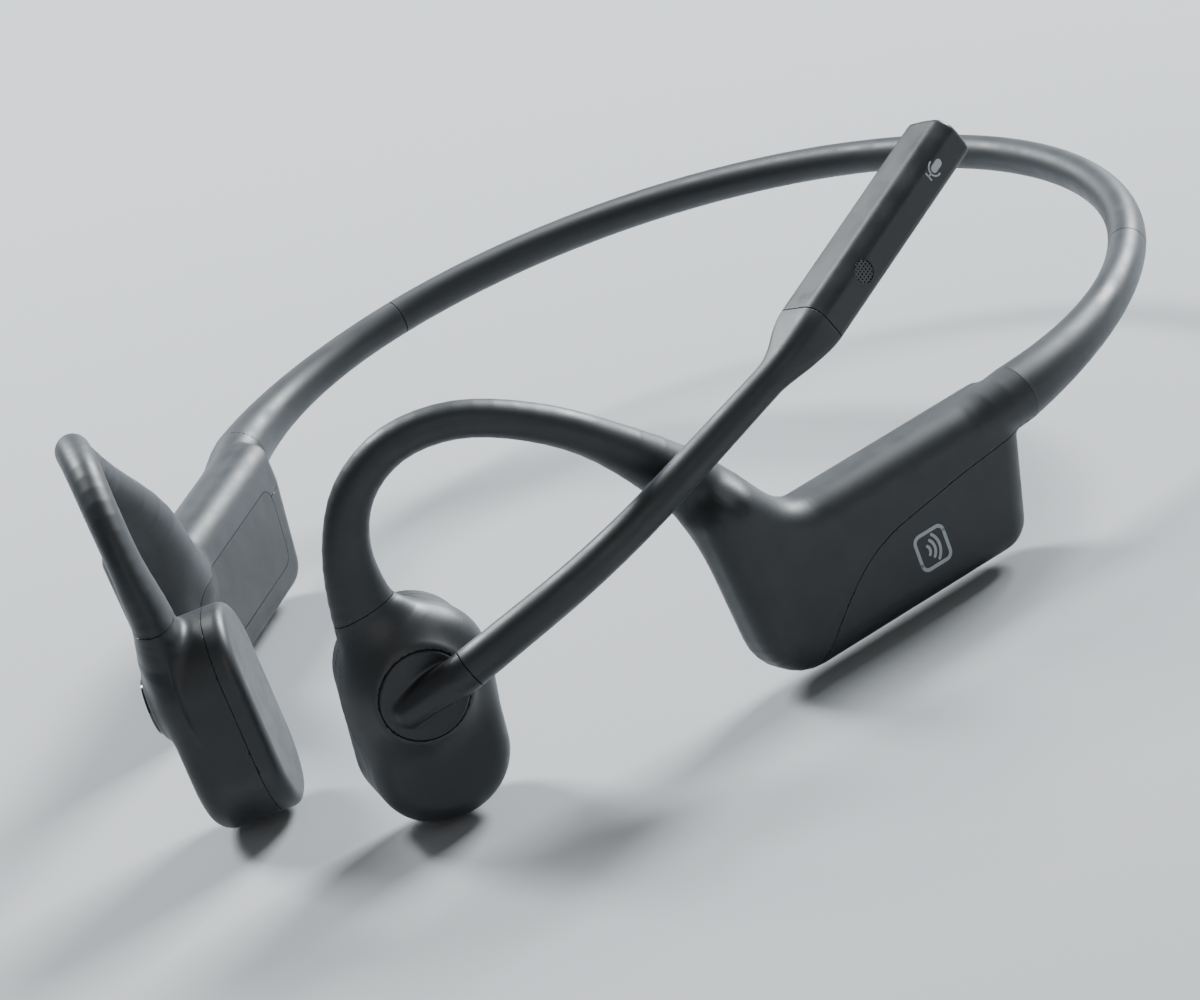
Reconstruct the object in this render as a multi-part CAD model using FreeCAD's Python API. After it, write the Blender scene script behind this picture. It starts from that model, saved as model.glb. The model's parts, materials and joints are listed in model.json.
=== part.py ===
"""Bone conduction headphones with a swing-up microphone boom.

Frame: +X is the wearer's left (the boom side), -Y is the front, +Z is up, and X = 0 is the mirror
plane of the headset. The origin is at the bottom centre of the bounding box. Millimetres.
Each side is modelled once as the left side and mirrored where the right side has the same piece.
"""
import FreeCAD
import Part
import math
import os

V = FreeCAD.Vector

# ---------------------------------------------------------------- driving dimensions
LIFT = 12.82                     # height of the capsule centres over the lowest point
SHIFT_Y = -62.39                 # capsule centres, measured from the middle of the length

BAND_HALF_WIDTH = 61.3           # the neckband follows half an ellipse
BAND_DEPTH = 50.4
BAND_CENTRE_Y = 78.0
BAND_REAR_Z = 9.6
BAND_SLOPE = 0.0855
BAND_END_DEG = -15.0             # where the band runs into a pod
BAND_SEAM_DEG = 23.0             # joint between the centre skin and a side skin
BAND_MID_R = 2.05
BAND_SIDE_R = 2.35
BAND_ROOT_R = 3.45
CORE_WIRE_R = 0.5                # titanium spring wire inside band and hooks
LEAD_R = 0.45                    # wiring beside the spring wire
LEAD_OFFSET = 1.1

POD_NOTCH = (47.3, 36.1, 7.2)    # top of the pod just behind the ear hook
POD_YAW_DEG = 19.94              # the pod's long direction, from +Y towards +X
POD_OUT = 4.2                    # outer face
POD_IN = -4.1                    # face towards the head
POD_WALL = 1.2
POD_EDGE_R = 2.9
POD_BOTTOM = -18.7
POD_REAR = 29.2
POD_FRONT = -11.6

HOOK_POINTS = [(44.3, 32.6, 2.5), (41.4, 28.4, 12.6), (38.0, 21.2, 22.2), (34.0, 15.4, 28.0),
               (28.6, 10.0, 31.4), (23.2, 5.2, 31.3), (19.0, 1.4, 27.8), (16.6, -0.5, 21.8),
               (15.8, -0.6, 14.6), (17.0, 0.0, 10.2)]
HOOK_RADII = [3.9, 3.7, 2.45, 2.15, 2.12, 2.2, 2.4, 2.75, 3.7, 5.0]   # fore and aft
HOOK_THICK = [3.8, 3.6, 2.4, 2.1, 2.08, 2.1, 2.0, 2.0, 2.5, 2.6]      # outward
HOOK_SEAM_UP = 13.1              # height on the capsule where the hook skin ends

CAP_CENTRE = (19.25, 0.0, 0.0)   # centre of the capsule's outer plane
CAP_TOE_IN_DEG = 36.4            # outward normal turned to the front
CAP_TILT_DEG = 2.6               # and down
CAP_LEAN_DEG = 5.7               # top of the capsule leans to the rear
CAP_W = 15.9
CAP_H = 24.8
CAP_T = 10.5
CAP_PAD_T = 2.6                  # cover towards the skin
CAP_WALL = 1.2
CAP_EDGE_R = 3.6

HUB_FRONT = 0.92                 # pivot centre, from the capsule's centre
HUB_UP = 4.23
BOSS_H = 1.9
BOSS_BASE_R = 7.3
BOSS_TOP_R = 6.0
DISC_R = 5.2
DISC_FLOOR = 0.9
BORE_R = 1.8
SHAFT_R = 1.74
CABLE_BORE_R = 0.9

BOOM_REST_DEG = 64.0             # stowed direction, from the capsule's up towards the rear
BOOM_POINTS = [(1.6, 2.35), (25.0, 6.3), (53.6, 1.45), (84.9, -14.2)]
BOOM_BENDS = [0.0, 55.0, 13.0, 0.0]
STALK_ROOT = 5.6                 # distance from the pivot to the seam of the stalk
STALK_END = 50.5
STALK_R0 = 2.3
STALK_R1 = 1.85
HEAD_START = 55.5
HEAD_W = 5.2                     # across the face with the microphone hole
HEAD_D = 6.4
HEAD_WALL = 0.8
MIC_AT = 65.4                    # microphone hole along the boom
MIC_R = 1.35

BUTTON_R = 2.8
BUTTON_RING_R = 3.4
BUTTON_BOSS_H = 1.15
BUTTON_BOSS_BASE_R = 5.6
BUTTON_BOSS_TOP_R = 4.0
BUTTON_FLOOR = 0.3


# ---------------------------------------------------------------- frames and helpers
def world(point):
    """A point in the headset's working frame, moved to the exported frame."""
    return V(point[0], point[1] + SHIFT_Y, point[2] + LIFT)


class Local:
    """A right-handed frame: x, y and z are unit vectors, o is its origin."""

    def __init__(self, origin, x, y, z):
        self.o, self.x, self.y, self.z = origin, x, y, z

    def at(self, x, y, z):
        return self.o + self.x * x + self.y * y + self.z * z

    def place(self, shape):
        matrix = FreeCAD.Matrix(self.x.x, self.y.x, self.z.x, self.o.x,
                                self.x.y, self.y.y, self.z.y, self.o.y,
                                self.x.z, self.y.z, self.z.z, self.o.z, 0, 0, 0, 1)
        moved = shape.copy()
        moved.Placement = FreeCAD.Placement(matrix).multiply(moved.Placement)
        return moved


def capsule_frame():
    """x rearward, y up, z outward, on the left capsule's outer plane."""
    toe, tilt, lean = (math.radians(a) for a in (CAP_TOE_IN_DEG, CAP_TILT_DEG, CAP_LEAN_DEG))
    out = V(math.cos(toe) * math.cos(tilt), -math.sin(toe) * math.cos(tilt), -math.sin(tilt))
    up0 = V(math.cos(toe) * math.sin(tilt), -math.sin(toe) * math.sin(tilt), math.cos(tilt))
    rear0 = up0.cross(out)
    up = up0 * math.cos(lean) + rear0 * math.sin(lean)
    return Local(world(CAP_CENTRE), up.cross(out), up, out)


def pod_frame():
    """x rearward, y up, z outward, at the notch on top of the left pod."""
    yaw = math.radians(POD_YAW_DEG)
    rear = V(math.sin(yaw), math.cos(yaw), 0)
    return Local(world(POD_NOTCH), rear, V(0, 0, 1), rear.cross(V(0, 0, 1)))


CAP = capsule_frame()
POD = pod_frame()
HUB = Local(CAP.at(-HUB_FRONT, HUB_UP, 0), CAP.x, CAP.y, CAP.z)


def boom_frame():
    """x along the stowed boom, z outward on the pivot axis, at the top of the boss."""
    rest = math.radians(BOOM_REST_DEG)
    along = HUB.y * math.cos(rest) + HUB.x * math.sin(rest)
    return Local(HUB.at(0, 0, BOSS_H), along, HUB.z.cross(along), HUB.z)


BOOM = boom_frame()


def mirror(shape):
    return shape.mirror(V(0, 0, 0), V(1, 0, 0))


def cylinder(r, z0, z1, x=0.0, y=0.0):
    return Part.makeCylinder(r, z1 - z0, V(x, y, z0))


def ring(r_out, r_in, z0, z1, x=0.0, y=0.0):
    return cylinder(r_out, z0, z1, x, y).cut(cylinder(r_in, z0 - 1, z1 + 1, x, y))


def box(x0, x1, y0, y1, z0, z1):
    return Part.makeBox(x1 - x0, y1 - y0, z1 - z0, V(x0, y0, z0))


def rounded_outline(corners):
    """A closed planar wire through (x, y, radius) corners, each rounded with a tangent arc."""
    edges, start, last = [], None, None
    count = len(corners)
    for i in range(count):
        before, here, after = (V(corners[(i + k) % count][0], corners[(i + k) % count][1], 0)
                               for k in (-1, 0, 1))
        to_before, to_after = (before - here).normalize(), (after - here).normalize()
        half = to_before.getAngle(to_after) / 2
        radius = corners[i][2]
        reach = radius / math.tan(half)
        first, second = here + to_before * reach, here + to_after * reach
        middle = (to_before + to_after).normalize()
        arc_mid = here + middle * (radius / math.sin(half) - radius)
        if last is None:
            start = first
        else:
            edges.append(Part.LineSegment(last, first).toShape())
        edges.append(Part.Arc(first, arc_mid, second).toShape())
        last = second
    edges.append(Part.LineSegment(last, start).toShape())
    return Part.Wire(edges)


def plate(corners, z0, z1):
    face = Part.Face(rounded_outline(corners))
    face.translate(V(0, 0, z0))
    return face.extrude(V(0, 0, z1 - z0))


def rect_corners(w, h, r, x=0.0, y=0.0):
    return [(x - w / 2, y - h / 2, r), (x + w / 2, y - h / 2, r),
            (x + w / 2, y + h / 2, r), (x - w / 2, y + h / 2, r)]


def slab(w, h, r, z0, z1, x=0.0, y=0.0):
    return plate(rect_corners(w, h, r, x, y), z0, z1)


def fillet_at(shape, radius, z):
    """Round the edges that lie wholly in the plane at height z."""
    edges = [e for e in shape.Edges
             if abs(e.BoundBox.ZMin - z) < 1e-4 and abs(e.BoundBox.ZMax - z) < 1e-4]
    return shape.makeFillet(radius, edges)


def ring_wire(centre, tangent, up, r, aspect=1.0):
    """An ellipse across the tangent: r towards up, r times aspect sideways."""
    tangent = V(tangent).normalize()
    side = tangent.cross(up).normalize()
    rise = side.cross(tangent).normalize()
    if abs(aspect - 1.0) < 1e-6:
        return Part.Wire(Part.Circle(centre, tangent, r).toShape())
    major, minor = (side, rise) if aspect > 1 else (rise, side)
    long_r, short_r = max(r, r * aspect), min(r, r * aspect)
    curve = Part.Ellipse(centre + major * long_r, centre + minor * short_r, centre)
    return Part.Wire(curve.toShape())


def curve_sampler(points):
    """A smooth curve through points; returns (position, tangent) at a fraction of its length."""
    spline = Part.BSplineCurve()
    spline.interpolate(points)
    total = spline.length()

    def sample(fraction):
        u = spline.parameterAtDistance(total * fraction, spline.FirstParameter)
        return spline.value(u), spline.tangent(u)[0]
    return sample


def blend_value(values, fraction):
    """Smooth interpolation in evenly spaced values."""
    place = fraction * (len(values) - 1)
    i = min(int(place), len(values) - 2)
    t = place - i
    t = t * t * (3 - 2 * t)
    return values[i] * (1 - t) + values[i + 1] * t


def tube(sample, start, end, count, radius, up=V(0, 0, 1), width=None, offset=0.0):
    """A solid of sections along a sampled curve. radius is a number or a function, and so is
    width, the radius across up where the section isn't round."""
    sections = []
    for i in range(count):
        fraction = start + (end - start) * i / (count - 1)
        centre, tangent = sample(fraction)
        side = tangent.cross(up).normalize()
        r = radius(fraction) if callable(radius) else radius
        aspect = width(fraction) / r if width else 1.0
        sections.append(ring_wire(centre + side * offset, tangent, up, r, aspect))
    return Part.makeLoft(sections, True, False)


# ---------------------------------------------------------------- neckband
def band_sample(degrees):
    t = math.radians(degrees)
    place = V(BAND_HALF_WIDTH * math.cos(t), BAND_CENTRE_Y + BAND_DEPTH * math.sin(t),
              BAND_REAR_Z - BAND_SLOPE * BAND_DEPTH * (1 - math.sin(t)))
    tangent = V(-BAND_HALF_WIDTH * math.sin(t), BAND_DEPTH * math.cos(t),
                BAND_SLOPE * BAND_DEPTH * math.cos(t))
    return world(place), tangent.normalize()


def band_radius(degrees):
    """Thin at the nape, fuller at the sides, flared where it meets a pod."""
    away = min(abs(degrees - BAND_END_DEG), abs(180 - BAND_END_DEG - degrees))
    flare = max(0.0, 1 - away / 34.0)
    side = abs(90 - degrees) / 100.0
    plain = BAND_MID_R + (BAND_SIDE_R - BAND_MID_R) * min(1.0, side)
    return plain + (BAND_ROOT_R - BAND_SIDE_R) * flare * flare


def neckband():
    far = 180 - BAND_END_DEG
    seams = (BAND_SEAM_DEG, 180 - BAND_SEAM_DEG)
    core = tube(band_sample, BAND_END_DEG - 5, far + 5, 25, CORE_WIRE_R, offset=0.7)
    lead = tube(band_sample, BAND_END_DEG - 5, far + 5, 25, LEAD_R, offset=-LEAD_OFFSET)
    skins = {
        "neckband_skin_left": tube(band_sample, BAND_END_DEG, seams[0], 8, band_radius),
        "neckband_skin_centre": tube(band_sample, seams[0], seams[1], 15, band_radius),
        "neckband_skin_right": tube(band_sample, seams[1], far, 8, band_radius)}
    parts = {name: skin.cut(core).cut(lead) for name, skin in skins.items()}
    parts["neckband_core_wire"] = core
    parts["neckband_lead"] = lead
    return parts


# ---------------------------------------------------------------- pods
POD_OUTLINE = [(POD_REAR, -0.3, 1.5), (POD_REAR + 0.3, -6.0, 5.0), (POD_REAR - 3.4, POD_BOTTOM, 4.0),
               (POD_FRONT + 1.2, POD_BOTTOM, 6.5), (POD_FRONT - 0.8, 4.6, 3.0),
               (-6.6, 5.2, 3.0), (-1.6, -0.3, 6.0)]
SEAM_LEVEL = -5.8                # the hard cover's top edge at the rear
COVER_SEAM = [(POD_REAR + 4, SEAM_LEVEL + 0.3), (16.0, -7.3), (4.0, -10.2), (-8.6, POD_BOTTOM - 2)]


def pod_block(inset):
    """The pod's outer shape, or the same shape smaller by inset all round."""
    face = Part.Face(rounded_outline(POD_OUTLINE))
    if inset:
        face = Part.Face(face.OuterWire.makeOffset2D(-inset))
    low, high = POD_IN + inset, POD_OUT - inset
    face.translate(V(0, 0, low))
    block = face.extrude(V(0, 0, high - low))
    radius = 1.0 if inset else POD_EDGE_R
    return fillet_at(fillet_at(block, radius, high), radius, low)


def below_seam():
    """The region under the curved seam between the soft skin and the hard cover."""
    top = Part.BSplineCurve()
    top.interpolate([V(x, y, POD_IN - 3) for x, y in COVER_SEAM])
    last, first = V(*COVER_SEAM[-1], POD_IN - 3), V(*COVER_SEAM[0], POD_IN - 3)
    corner = V(first.x, POD_BOTTOM - 4, first.z)
    low = V(last.x, POD_BOTTOM - 4, first.z)
    edges = [top.toShape(), Part.LineSegment(last, low).toShape(),
             Part.LineSegment(low, corner).toShape(), Part.LineSegment(corner, first).toShape()]
    return Part.Face(Part.Wire(edges)).extrude(V(0, 0, POD_OUT - POD_IN + 6))


INNER_COVER = [(25.0, -4.6, 2.0), (22.6, -15.0, 2.5), (-9.6, -15.0, 4.5), (-10.4, -4.6, 2.5)]
SCREW_SPOTS = [(20.6, -7.2), (-7.2, -7.2)]
TRAY_TOP = POD_IN + POD_WALL + 0.7
KEY_X = (3.4, 11.6)
KEY_L = 5.6
KEY_T = 2.2
CONTACT_X = 19.0


def pod_pieces(side, hook, hook_core, hook_lead):
    """Skin with the ear hook, hard cover, chassis and inner cover of one pod, on the left side."""
    block = pod_block(0)
    hollow = pod_block(POD_WALL)
    cover_zone = below_seam()
    cover_plate = plate(INNER_COVER, POD_IN, POD_IN + POD_WALL)
    cover = block.common(cover_zone).cut(hollow).cut(cover_plate)
    skin_wall = block.cut(cover_zone).cut(hollow).cut(cover_plate)
    tray = plate([(26.0, -1.6, 1.5), (23.4, -15.6, 2.5), (-10.4, -15.6, 4.0), (-11.2, -1.6, 1.5)],
                 POD_IN + POD_WALL, TRAY_TOP)
    tray = tray.common(pod_block(POD_WALL + 0.05))
    heads = []
    for x, y in SCREW_SPOTS:
        tray = tray.fuse(cylinder(1.3, POD_IN + POD_WALL, 0.6, x, y))
        tray = tray.cut(cylinder(0.5, POD_IN - 1, -0.4, x, y))
        cover_plate = cover_plate.cut(cylinder(0.5, POD_IN - 1, 1, x, y))
        cover_plate = cover_plate.cut(cylinder(0.9, POD_IN - 1, POD_IN + 0.6, x, y))
        heads.append(cylinder(0.5, POD_IN + 0.3, -0.4, x, y).fuse(
            cylinder(0.88, POD_IN + 0.1, POD_IN + 0.6, x, y)))
    if side == "right":
        for x in KEY_X:
            slot = slab(KEY_L + 0.5, KEY_T + 0.5, 1.2, 0, 6)
            slot.rotate(V(0, 0, 0), V(1, 0, 0), 90)
            slot.translate(V(x, POD_BOTTOM + 4, 0))
            cover = cover.cut(slot)
        cover = cover.cut(box(CONTACT_X - 2.6, CONTACT_X + 2.6, POD_BOTTOM - 1, POD_BOTTOM + 2,
                              -1.3, 1.3))
        cover = cover.cut(box(15.2, 15.9, POD_BOTTOM - 1, POD_BOTTOM + 2, -0.35, 0.35))
    placed = {name: POD.place(shape) for name, shape in
              (("pod_cover", cover), ("pod_tray", tray), ("pod_inner_cover", cover_plate),
               ("pod_screws", Part.makeCompound(heads)), ("skin", skin_wall),
               ("hollow", hollow))}
    placed["pod_tray"] = placed["pod_tray"].cut(hook_core).cut(hook_lead)
    band_root = tube(band_sample, BAND_END_DEG - 8, BAND_END_DEG + 0.01, 5, BAND_ROOT_R)
    skin = placed.pop("skin").fuse(hook).fuse(band_root.cut(placed["pod_cover"]))
    inside = placed.pop("hollow")
    skin = skin.cut(inside).cut(placed["pod_cover"]).cut(placed["pod_inner_cover"])
    skin = skin.cut(hook_core).cut(hook_lead)
    for offset, r in ((0.7, CORE_WIRE_R), (-LEAD_OFFSET, LEAD_R)):
        skin = skin.cut(tube(band_sample, BAND_END_DEG - 8, BAND_END_DEG + 1, 5, r, offset=offset))
    placed["ear_hook_skin"] = skin
    return placed


def right_pod_extras():
    """Keys, switches, contacts and the main board of the right pod, drawn on the left side."""
    parts = {}
    floor = POD_BOTTOM + POD_WALL
    for name, x in zip(("volume_down_key", "volume_up_key"), KEY_X):
        cap = slab(KEY_L, KEY_T, 1.0, -0.6, POD_WALL + 0.35)
        cap = cap.fuse(slab(KEY_L + 1.4, KEY_T + 1.4, 1.7, -0.6, -0.1))
        cap.rotate(V(0, 0, 0), V(1, 0, 0), 90)
        cap.translate(V(x, floor, 0))
        parts[name] = POD.place(cap)
    switches = Part.makeCompound([box(x - 1.5, x + 1.5, floor + 1.1, floor + 2.2, -1.2, 1.2)
                                  for x in KEY_X])
    parts["key_switches"] = POD.place(switches)
    parts["key_board"] = POD.place(box(0.2, 14.8, floor + 2.2, floor + 2.8, -1.6, 1.6))
    block = box(CONTACT_X - 2.6, CONTACT_X + 2.6, POD_BOTTOM + 0.3, POD_BOTTOM + 2, -1.3, 1.3)
    pins = Part.makeCompound([cylinder(0.55, 0, 2.1, CONTACT_X + dx, 0) for dx in (-1.3, 1.3)])
    pins.rotate(V(0, 0, 0), V(1, 0, 0), -90)
    pins.translate(V(0, POD_BOTTOM + 0.15, 0))
    parts["charge_contact_block"] = POD.place(block.cut(pins))
    parts["charge_contact_pins"] = POD.place(pins)
    parts["status_light_pipe"] = POD.place(box(15.2, 15.9, POD_BOTTOM + 0.15, POD_BOTTOM + 2.4,
                                               -0.35, 0.35))
    board_top = TRAY_TOP + 0.8
    board = slab(23.0, 9.0, 1.0, TRAY_TOP, board_top, 6.0, -8.2)
    parts["main_board"] = POD.place(board.cut(cylinder(1.5, -4, 0, *SCREW_SPOTS[0])))
    chips = [(1.0, -7.6, 4.2), (8.0, -8.6, 5.0), (14.0, -8.0, 3.4)]
    parts["main_board_chips"] = POD.place(Part.makeCompound(
        [box(x - s / 2, x + s / 2, y - s / 2, y + s / 2, board_top, board_top + 0.9)
         for x, y, s in chips]))
    parts["radio_antenna"] = POD.place(box(-0.6, 18.6, -3.2, -2.4, 0.2, 0.6))
    return parts


def left_pod_extras():
    """Battery and near-field pairing coil of the left pod."""
    battery = slab(24.0, 10.0, 1.2, TRAY_TOP, 1.9, 6.8, -9.4)
    coil = slab(13.0, 9.0, 1.5, 2.5, 2.8, 11.0, -11.4).cut(slab(9.0, 5.0, 1.0, 2, 3, 11.0, -11.4))
    return {"battery_cell": POD.place(battery), "near_field_coil": POD.place(coil)}


# ---------------------------------------------------------------- ear hooks
def hook_pieces():
    sample = curve_sampler([world(p) for p in HOOK_POINTS])
    out = CAP.z
    skin = tube(sample, 0.0, 1.0, 19, lambda f: blend_value(HOOK_THICK, f), up=out,
                width=lambda f: blend_value(HOOK_RADII, f))
    below = CAP.place(box(-30, 20, -60, HOOK_SEAM_UP, -60, 60))
    core = tube(sample, 0.02, 0.93, 16, CORE_WIRE_R, up=out, offset=0.7)
    lead = tube(sample, 0.02, 0.93, 16, LEAD_R, up=out, offset=-0.9)
    return skin.cut(below), skin.common(below), core, lead


# ---------------------------------------------------------------- speaker capsules
DRIVER_W = 10.4
DRIVER_H = 15.2
DRIVER_DOWN = -1.0


def capsule_pieces(side, hook_stub, hook_core, hook_lead):
    """Shell, pad and vibration driver of one capsule, on the left side."""
    seam = -(CAP_T - CAP_PAD_T)
    body = fillet_at(slab(CAP_W, CAP_H, 7.4, -CAP_T, 0), CAP_EDGE_R, 0)
    body = fillet_at(body, 1.4, -CAP_T)
    boss = Part.makeCone(BOSS_BASE_R, BOSS_TOP_R, BOSS_H + 0.8, V(-HUB_FRONT, HUB_UP, -0.8))
    cavity = slab(CAP_W - 2 * CAP_WALL, CAP_H - 2 * CAP_WALL, 6.2, -CAP_T + 1.1, -CAP_WALL)
    zone = box(-20, 20, -20, 20, seam, 20)
    if side == "right":
        boss = Part.makeCone(BUTTON_BOSS_BASE_R, BUTTON_BOSS_TOP_R, BUTTON_BOSS_H + 0.8,
                             V(-HUB_FRONT, HUB_UP, -0.8))
    stub = CAP.place(body.common(zone)).fuse(hook_stub)
    shell = stub.fuse(CAP.place(boss)).cut(CAP.place(cavity))
    pad = body.cut(zone).cut(cavity)
    shell = shell.cut(CAP.place(body.cut(zone)))
    if side == "left":
        shell = shell.cut(HUB.place(cylinder(DISC_R + 0.2, DISC_FLOOR, 9)))
        shell = shell.cut(HUB.place(cylinder(BORE_R, -9, 9)))
    else:
        shell = shell.cut(HUB.place(cylinder(BUTTON_RING_R, BUTTON_FLOOR, 9)))
        shell = shell.cut(HUB.place(cylinder(2.0, -9, 9)))
    shell = shell.cut(hook_core).cut(hook_lead)
    plate_z = -CAP_T + 1.1
    coil_out = slab(6.6, 11.4, 2.0, plate_z + 0.6, plate_z + 2.6)
    coil_in = slab(4.6, 9.4, 1.4, plate_z, plate_z + 4)
    plate_shape = slab(DRIVER_W + 1.6, DRIVER_H + 1.6, 3.0, plate_z, plate_z + 0.6)
    yoke = slab(DRIVER_W, DRIVER_H, 2.4, plate_z + 1.2, plate_z + 4.6)
    yoke = yoke.cut(slab(7.4, 12.2, 2.2, plate_z, plate_z + 3.4))
    magnet = slab(3.9, 8.7, 1.0, plate_z + 1.2, plate_z + 3.4)
    spring = slab(DRIVER_W + 1.4, DRIVER_H + 1.4, 3.0, plate_z + 4.6, plate_z + 4.85)
    spring = spring.cut(slab(DRIVER_W - 1.4, 3.0, 0.8, plate_z + 4, plate_z + 6, 0, 4.6))
    spring = spring.cut(slab(DRIVER_W - 1.4, 3.0, 0.8, plate_z + 4, plate_z + 6, 0, -4.6))
    pieces = {"capsule_pad": pad}
    for name, shape in (("vibration_plate", plate_shape), ("voice_coil", coil_out.cut(coil_in)),
                        ("driver_yoke", yoke), ("driver_magnet", magnet),
                        ("driver_spring", spring)):
        shape.translate(V(0, DRIVER_DOWN, 0))
        pieces[name] = shape
    placed = {name: CAP.place(shape) for name, shape in pieces.items()}
    placed["capsule_shell"] = shell
    return placed


# ---------------------------------------------------------------- boom
def boom_path():
    """The boom's centre line in its own x-z plane: straight runs joined by tangent arcs."""
    points = [V(x, 0, z) for x, z in BOOM_POINTS]
    edges, last = [], points[0]
    for i in range(1, len(points) - 1):
        back, ahead = (points[i - 1] - points[i]).normalize(), (points[i + 1] - points[i]).normalize()
        half = back.getAngle(ahead) / 2
        reach = BOOM_BENDS[i] / math.tan(half)
        first, second = points[i] + back * reach, points[i] + ahead * reach
        middle = points[i] + (back + ahead).normalize() * (BOOM_BENDS[i] / math.sin(half)
                                                           - BOOM_BENDS[i])
        edges.append(Part.LineSegment(last, first).toShape())
        edges.append(Part.Arc(first, middle, second).toShape())
        last = second
    edges.append(Part.LineSegment(last, points[-1]).toShape())
    return Part.Wire(edges)


def boom_sampler():
    """(position, tangent) in the boom's frame at a distance x from the pivot."""
    points = boom_path().discretize(400)

    def sample(x):
        for p, q in zip(points, points[1:]):
            if p.x <= x <= q.x:
                t = (x - p.x) / (q.x - p.x)
                return p + (q - p) * t, (q - p).normalize()
        return points[-1], (points[-1] - points[-2]).normalize()
    return sample


def boom_pieces():
    sample = boom_sampler()
    side = V(0, 1, 0)

    def stalk_radius(x):
        t = (x - STALK_ROOT) / (STALK_END - STALK_ROOT)
        return STALK_R0 + (STALK_R1 - STALK_R0) * max(0.0, min(1.0, t))

    disc = cylinder(DISC_R, DISC_FLOOR - BOSS_H + 0.06, 0.35)
    disc = fillet_at(disc, 0.3, 0.35)
    ridge = tube(sample, 1.7, STALK_ROOT, 4, lambda x: 1.5 + 0.8 * (x - 1.7) / (STALK_ROOT - 1.7),
                 up=side)
    tip = Part.makeSphere(1.5, sample(1.7)[0])
    tail = Part.makeCone(0.6, 2.1, 6.0, V(-4.3, 0, 0.0), V(1, 0, 0.32))
    core = tube(sample, 2.0, HEAD_START - 0.5, 14, 0.55, up=side, offset=0.8)
    lead = tube(sample, 2.0, HEAD_START - 0.5, 14, 0.5, up=side, offset=-0.8)
    hub = disc.fuse(ridge).fuse(tip).fuse(tail.common(cylinder(DISC_R, -1, 9)))
    shaft_low = DISC_FLOOR - BOSS_H - DISC_FLOOR - CAP_WALL - 1.4
    shaft = ring(SHAFT_R, CABLE_BORE_R, shaft_low, DISC_FLOOR - BOSS_H + 0.06)
    groove = ring(SHAFT_R + 1, SHAFT_R - 0.4, shaft_low + 0.4, shaft_low + 0.9)
    shaft = shaft.cut(groove)
    clip = ring(SHAFT_R + 1.3, SHAFT_R - 0.4, shaft_low + 0.4, shaft_low + 0.9)
    clip = clip.cut(box(0, 9, -0.8, 0.8, shaft_low - 1, shaft_low + 2))
    washer = ring(SHAFT_R + 1.5, SHAFT_R + 0.12, -BOSS_H - CAP_WALL - 0.35, -BOSS_H - CAP_WALL)
    stalk = tube(sample, STALK_ROOT, STALK_END, 14, stalk_radius, up=side)
    neck = tube(sample, STALK_END, HEAD_START, 4,
                lambda x: STALK_R1 + 0.65 * (x - STALK_END) / (HEAD_START - STALK_END), up=side)
    head, inner, tilt = head_block(sample)
    front, back, mesh, mic, board = head_pieces(head, inner, tilt)
    pieces = {"boom_hub_disc": hub.cut(core).cut(lead), "boom_pivot_shaft": shaft,
              "boom_retaining_clip": clip, "boom_friction_washer": washer,
              "boom_stalk_skin": stalk.cut(core).cut(lead), "boom_core_wire": core,
              "boom_lead": lead, "boom_neck": neck.cut(core).cut(lead),
              "mic_head_front": front, "mic_head_back": back, "mic_mesh": mesh,
              "mic_capsule": mic, "mic_board": board}
    return {name: BOOM.place(shape) for name, shape in pieces.items()}


def head_block(sample):
    """The microphone head: a rounded bar along the last straight run, and its hollow."""
    start, along = sample(HEAD_START)
    end = V(BOOM_POINTS[-1][0], 0, BOOM_POINTS[-1][1])
    length = (end - start).Length
    tilt = Local(start, V(0, 1, 0), along.cross(V(0, 1, 0)), along)
    taper = [(0.0, 4.6, 5.0, 1.9), (3.6, HEAD_W - 0.1, HEAD_D - 0.3, 1.7),
             (7.5, HEAD_W, HEAD_D, 1.5), (length - 1.0, HEAD_W, HEAD_D, 1.4)]
    wires = []
    for z, w, d, r in taper:
        wire = rounded_outline(rect_corners(w, d, r))
        wire.translate(V(0, 0, z))
        wires.append(wire)
    body = Part.makeLoft(wires, True, True)
    cap = slab(HEAD_W, HEAD_D, 1.4, length - 1.0, length)
    cap = cap.makeFillet(0.8, [e for e in cap.Edges if abs(e.BoundBox.ZMin - length) < 1e-4])
    inner = slab(HEAD_W - 2 * HEAD_WALL, HEAD_D - 2 * HEAD_WALL, 0.8, 6.0, length - 1.4)
    return body.fuse(cap), inner, tilt


def head_pieces(head, inner, tilt):
    """Split shells, mesh, microphone and board, with the mic hole on the outward face."""
    outward = 1 if tilt.y.z > 0 else -1
    mic_z = (MIC_AT - HEAD_START) / tilt.z.x
    port = Part.makeCylinder(MIC_R, 8, V(0, 0, mic_z), V(0, outward, 0))
    split = box(-9, 9, -9, 9, -1, 60)
    split.translate(V(0, 9 * outward + 0.9 * outward, 0))
    front = head.common(split).cut(inner).cut(port)
    back = head.cut(split).cut(inner)
    face = outward * HEAD_D / 2
    mesh = Part.makeCylinder(MIC_R, 0.35, V(0, face - outward * 0.65, mic_z), V(0, outward, 0))
    y0, y1 = sorted((0.2 * outward, 0.9 * outward))
    board = box(-1.6, 1.6, y0, y1, 7.5, 24.0)
    y0, y1 = sorted((0.9 * outward, 2.1 * outward))
    mic = box(-1.4, 1.4, y0, y1, mic_z - 1.7, mic_z + 1.7)
    return [tilt.place(s) for s in (front, back, mesh, mic, board)]


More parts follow.
